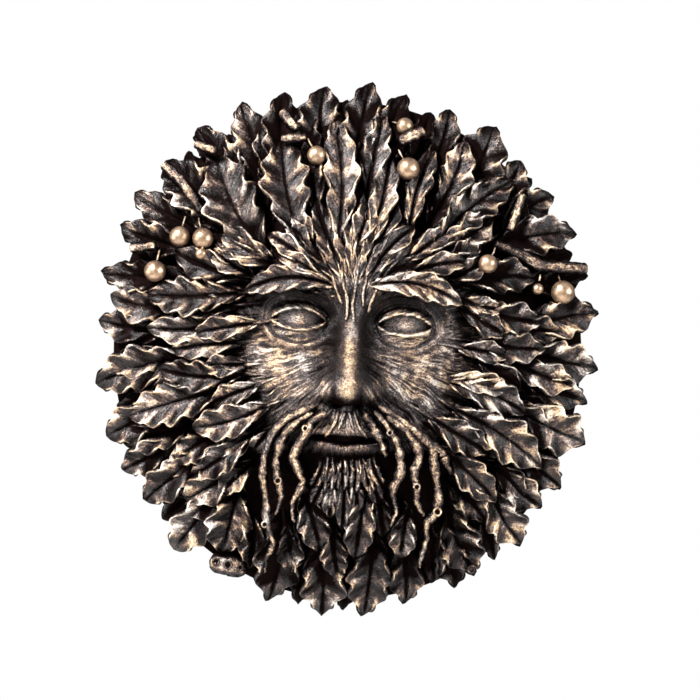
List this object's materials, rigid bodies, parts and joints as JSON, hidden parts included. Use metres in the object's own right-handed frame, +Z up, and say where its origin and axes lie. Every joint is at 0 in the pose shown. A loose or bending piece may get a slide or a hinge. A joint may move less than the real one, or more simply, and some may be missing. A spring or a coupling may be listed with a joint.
{
  "type": "green man wall mask",
  "caption": "Round cast wall mask of a leafy bearded face in a mane of oak leaves with twigs and berries, flat behind with a keyhole for a screw.",
  "frame": {"origin": "middle of the flat back, on the wall plane", "axes": "+Z up as it hangs, +Y into the wall, -Y out of the wall the way the face looks, +X to the right of the viewer"},
  "size_m": [0.2982, 0.0704, 0.3162],
  "materials": {
    "bronze_patina": "near-black bronze-effect patina with pale gold dry-brushed on the raised edges"
  },
  "bodies": {
    "root": {"green_man_mask": "bronze_patina"}
  },
  "joints": []
}
